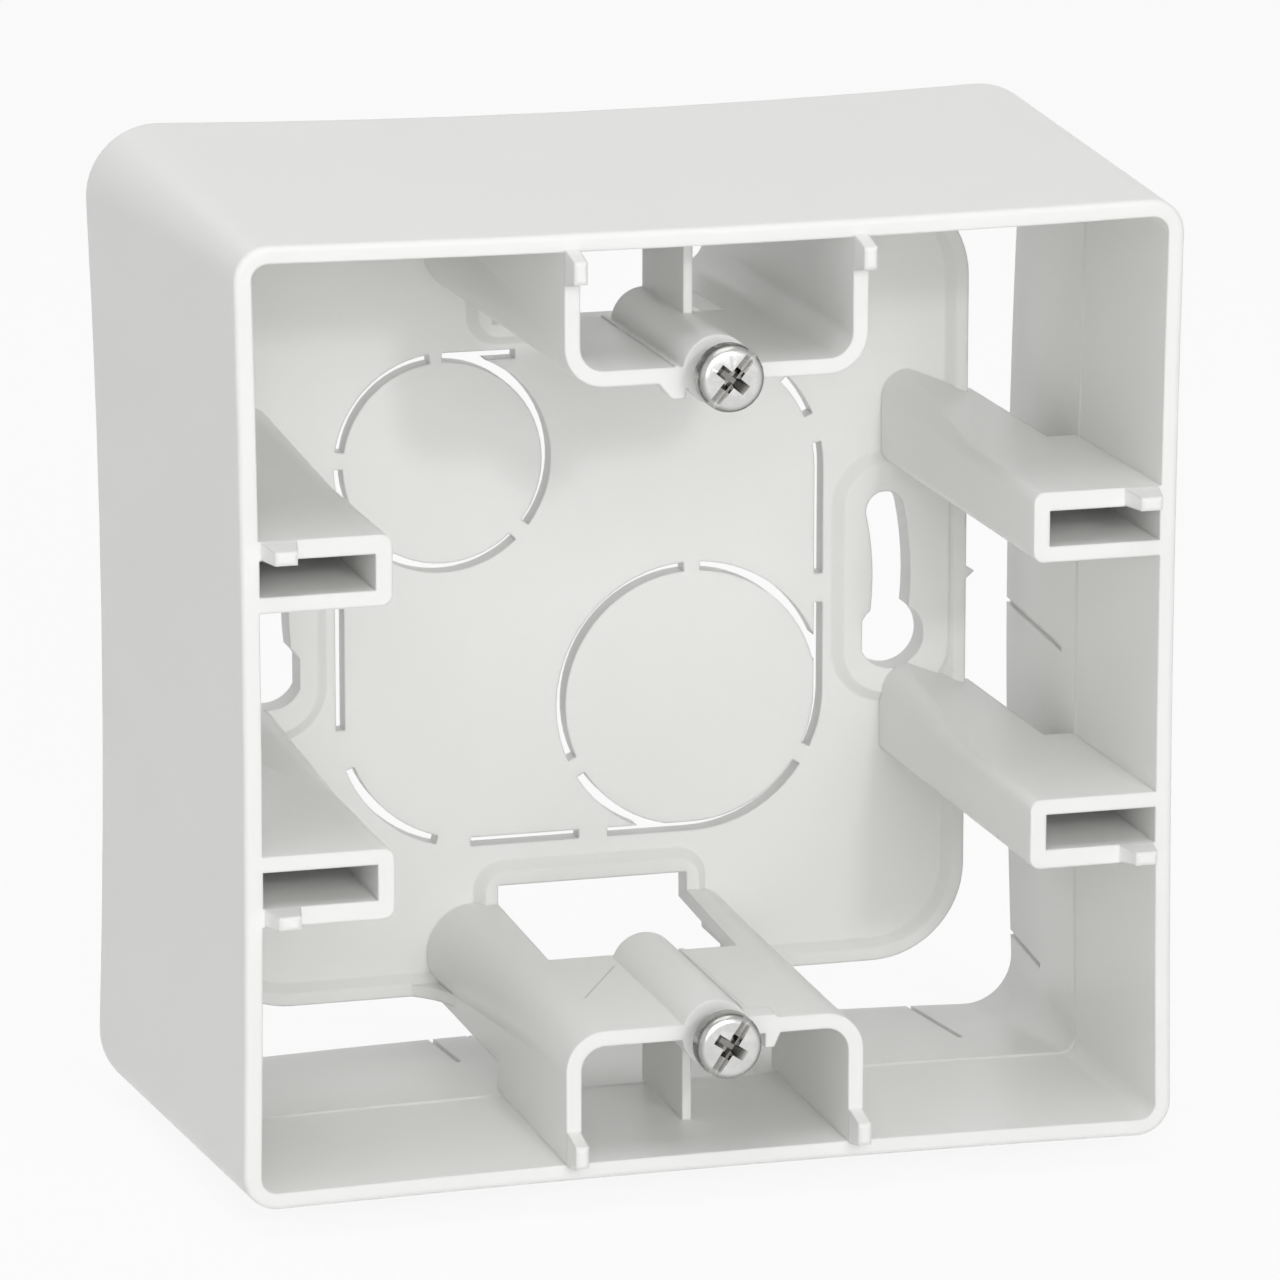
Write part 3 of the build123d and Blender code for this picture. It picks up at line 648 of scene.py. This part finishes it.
def studio_world(studio):
    """White surroundings for the eye, and an even soft light for the object."""
    world = bpy.data.worlds.new("studio")
    bpy.context.scene.world = world
    world.use_nodes = True
    tree = world.node_tree
    background = tree.nodes["Background"]
    background.inputs["Color"].default_value = (1.0, 1.0, 1.0, 1.0)
    level = add_node(
        tree, "ShaderNodeMapRange", (-200, -200),
        {"To Min": studio.light_level, "To Max": 1.0})
    tree.links.new(seen_directly(tree, (-1000, 0)), level.inputs["Value"])
    tree.links.new(level.outputs["Result"], background.inputs["Strength"])


def add_aimed(name, data, place, aim):
    """Lamp or camera at a place, turned along a direction."""
    aimed = bpy.data.objects.new(name, data)
    aimed.location = place
    aimed.rotation_euler = Vector(aim).to_track_quat("-Z", "Y").to_euler()
    bpy.context.scene.collection.objects.link(aimed)
    return aimed


def studio_lamps(studio):
    """A small square lamp that casts the shadows, and four large ones that fill them."""
    lamps = (
        ("front_key", (0.085, -1.22, 0.445), studio.key_size, studio.key_power),
        ("front_fill", (-0.10, -1.30, 0.25), 1.0, studio.front_power),
        ("top_fill", (-0.10, -0.25, 1.25), 1.0, studio.top_power),
        ("left_fill", (-1.15, -0.45, 0.35), 0.9, studio.left_power),
        ("rear_fill", (-0.35, 1.00, 0.90), 0.8, studio.rear_power),
    )
    for name, place, size, power in lamps:
        data = bpy.data.lights.new(name, "AREA")
        data.shape = "SQUARE"
        data.size = size
        data.energy = power
        add_aimed(name, data, place, Vector(LAMP_TARGET) - Vector(place))


def photo_camera(studio):
    """Camera that looks at the box as in the photograph."""
    data = bpy.data.cameras.new("photo_view")
    data.sensor_width = SENSOR_WIDTH
    data.lens = studio.lens
    bpy.context.scene.camera = add_aimed(
        "photo_view", data, studio.camera_place, studio.camera_aim)


class MOUNTBOX_OT_moulding(Operator):
    """Give the moulded box its satin plastic"""

    bl_idname = "mountbox.moulding"
    bl_label = "Finish Moulding"

    def execute(self, context):
        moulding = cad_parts["box_body"]
        material = plastic_material(context.scene.mountbox_plastic)
        moulding.data.materials.clear()
        moulding.data.materials.append(material)
        return {"FINISHED"}


class MOUNTBOX_OT_screws(Operator):
    """Model the two device screws with slot, cross and thread"""

    bl_idname = "mountbox.screws"
    bl_label = "Build Screws"

    def execute(self, context):
        sizes = context.scene.mountbox_screws
        steel = metal_material(context.scene.mountbox_metal)
        places = [
            ("upper_screw", "top_fixing", sizes.upper_turn),
            ("lower_screw", "bottom_fixing", sizes.lower_turn),
        ]
        for node, body, turn in places:
            piece = build_screw(node, turn, sizes)
            piece.data.materials.clear()
            piece.data.materials.append(steel)
            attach(piece, body)
        return {"FINISHED"}


class MOUNTBOX_OT_stage(Operator):
    """Set up the floor, the lights and the camera"""

    bl_idname = "mountbox.stage"
    bl_label = "Set Up Stage"

    def execute(self, context):
        studio = context.scene.mountbox_studio
        pale_floor(studio)
        studio_world(studio)
        studio_lamps(studio)
        photo_camera(studio)
        context.scene.view_settings.view_transform = "Standard"
        return {"FINISHED"}


class MOUNTBOX_PT_sidebar(Panel):
    """Steps and sizes of the mount box"""

    bl_idname = "MOUNTBOX_PT_sidebar"
    bl_label = "Mount Box"
    bl_space_type = "VIEW_3D"
    bl_region_type = "UI"
    bl_category = "Mount Box"

    def draw(self, context):
        layout = self.layout
        for step in STEPS:
            layout.operator(step.bl_idname)
        for owner, group in GROUPS.items():
            settings = getattr(context.scene, owner)
            column = layout.column(heading=group.__name__)
            for name in group.__annotations__:
                column.prop(settings, name)


STEPS = (MOUNTBOX_OT_moulding, MOUNTBOX_OT_screws, MOUNTBOX_OT_stage)
GROUPS = {
    "mountbox_screws": ScrewSizes,
    "mountbox_plastic": PlasticFinish,
    "mountbox_metal": MetalFinish,
    "mountbox_studio": Studio,
}


def register():
    for group in GROUPS.values():
        bpy.utils.register_class(group)
    for step in STEPS:
        bpy.utils.register_class(step)
    bpy.utils.register_class(MOUNTBOX_PT_sidebar)
    for owner, group in GROUPS.items():
        setattr(bpy.types.Scene, owner, PointerProperty(type=group))


def unregister():
    for owner in GROUPS:
        delattr(bpy.types.Scene, owner)
    bpy.utils.unregister_class(MOUNTBOX_PT_sidebar)
    for step in reversed(STEPS):
        bpy.utils.unregister_class(step)
    for group in reversed(GROUPS.values()):
        bpy.utils.unregister_class(group)


def main():
    """Makes the pieces and the stage."""
    register()
    bpy.ops.mountbox.moulding()
    bpy.ops.mountbox.screws()
    bpy.ops.mountbox.stage()


if __name__ == "__main__":
    main()
